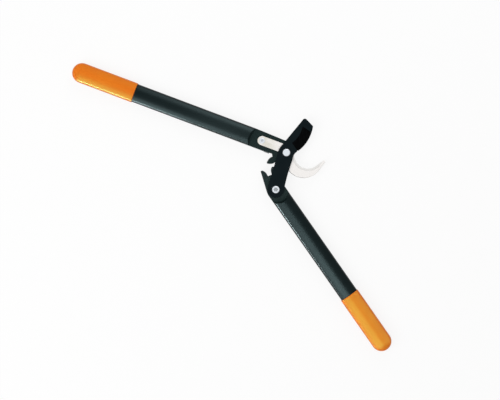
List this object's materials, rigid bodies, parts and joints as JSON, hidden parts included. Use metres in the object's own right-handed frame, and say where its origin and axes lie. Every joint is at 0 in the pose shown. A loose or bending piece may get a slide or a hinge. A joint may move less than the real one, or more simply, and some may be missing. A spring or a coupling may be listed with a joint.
{
  "type": "geared bypass lopper",
  "caption": "Long-handled bypass lopper: composite tube handles geared together behind a dark convex blade that swings past a bright steel hook, with orange end grips.",
  "frame": {"origin": "on the main pivot's axis, in the flat plane of the rear ends of the pivot bolt and its nut", "axes": "+Z towards the front face, away from the surface the tool lies on; +X to the right, from the handles towards the jaw; +Y up across the tool, as in the picture"},
  "size_m": [0.5491, 0.4955, 0.0244],
  "materials": {
    "composite": "satin glass-filled composite, dark green-grey",
    "grip_orange": "smooth satin, orange",
    "plug_plastic": "plain moulded, black",
    "hook_steel": "fine ground",
    "fastener_steel": "bright plated",
    "bush_steel": "turned",
    "pad_rubber": "plain moulded, grey",
    "blade_coating": "low-friction black coating on steel"
  },
  "bodies": {
    "upper_handle": {"upper_handle": "composite", "upper_grip": "grip_orange", "upper_plug": "plug_plastic", "hook": "hook_steel", "hook_rivet": "fastener_steel", "hook_rivet_washer": "fastener_steel", "pivot_bolt": "fastener_steel", "pivot_bush": "bush_steel", "pivot_front_washer": "fastener_steel", "pivot_rear_washer": "fastener_steel", "pivot_nut": "fastener_steel", "stop_pad": "pad_rubber"},
    "blade": {"blade": "blade_coating", "link_bolt": "fastener_steel", "link_bush": "bush_steel", "link_thrust_washer": "plug_plastic", "link_rear_washer": "fastener_steel", "link_nut": "fastener_steel"},
    "lower_handle": {"lower_handle": "composite", "lower_grip": "grip_orange", "lower_plug": "plug_plastic"}
  },
  "joints": [
    {"name": "blade_swing", "type": "hinge", "parent": "upper_handle", "child": "blade", "pos_m": [0, 0, 0.018], "axis": [0, 0, -1], "range_deg": [0, 69.48]},
    {"name": "lower_handle_swing", "type": "hinge", "parent": "blade", "child": "lower_handle", "pos_m": [-0.01819, -0.06344, 0.01], "axis": [0, 0, -1], "range_deg": [0, 57.9]}
  ],
  "couplings": [
    {"joint": "blade_swing", "follows": "lower_handle_swing", "ratio": 1.2}
  ]
}
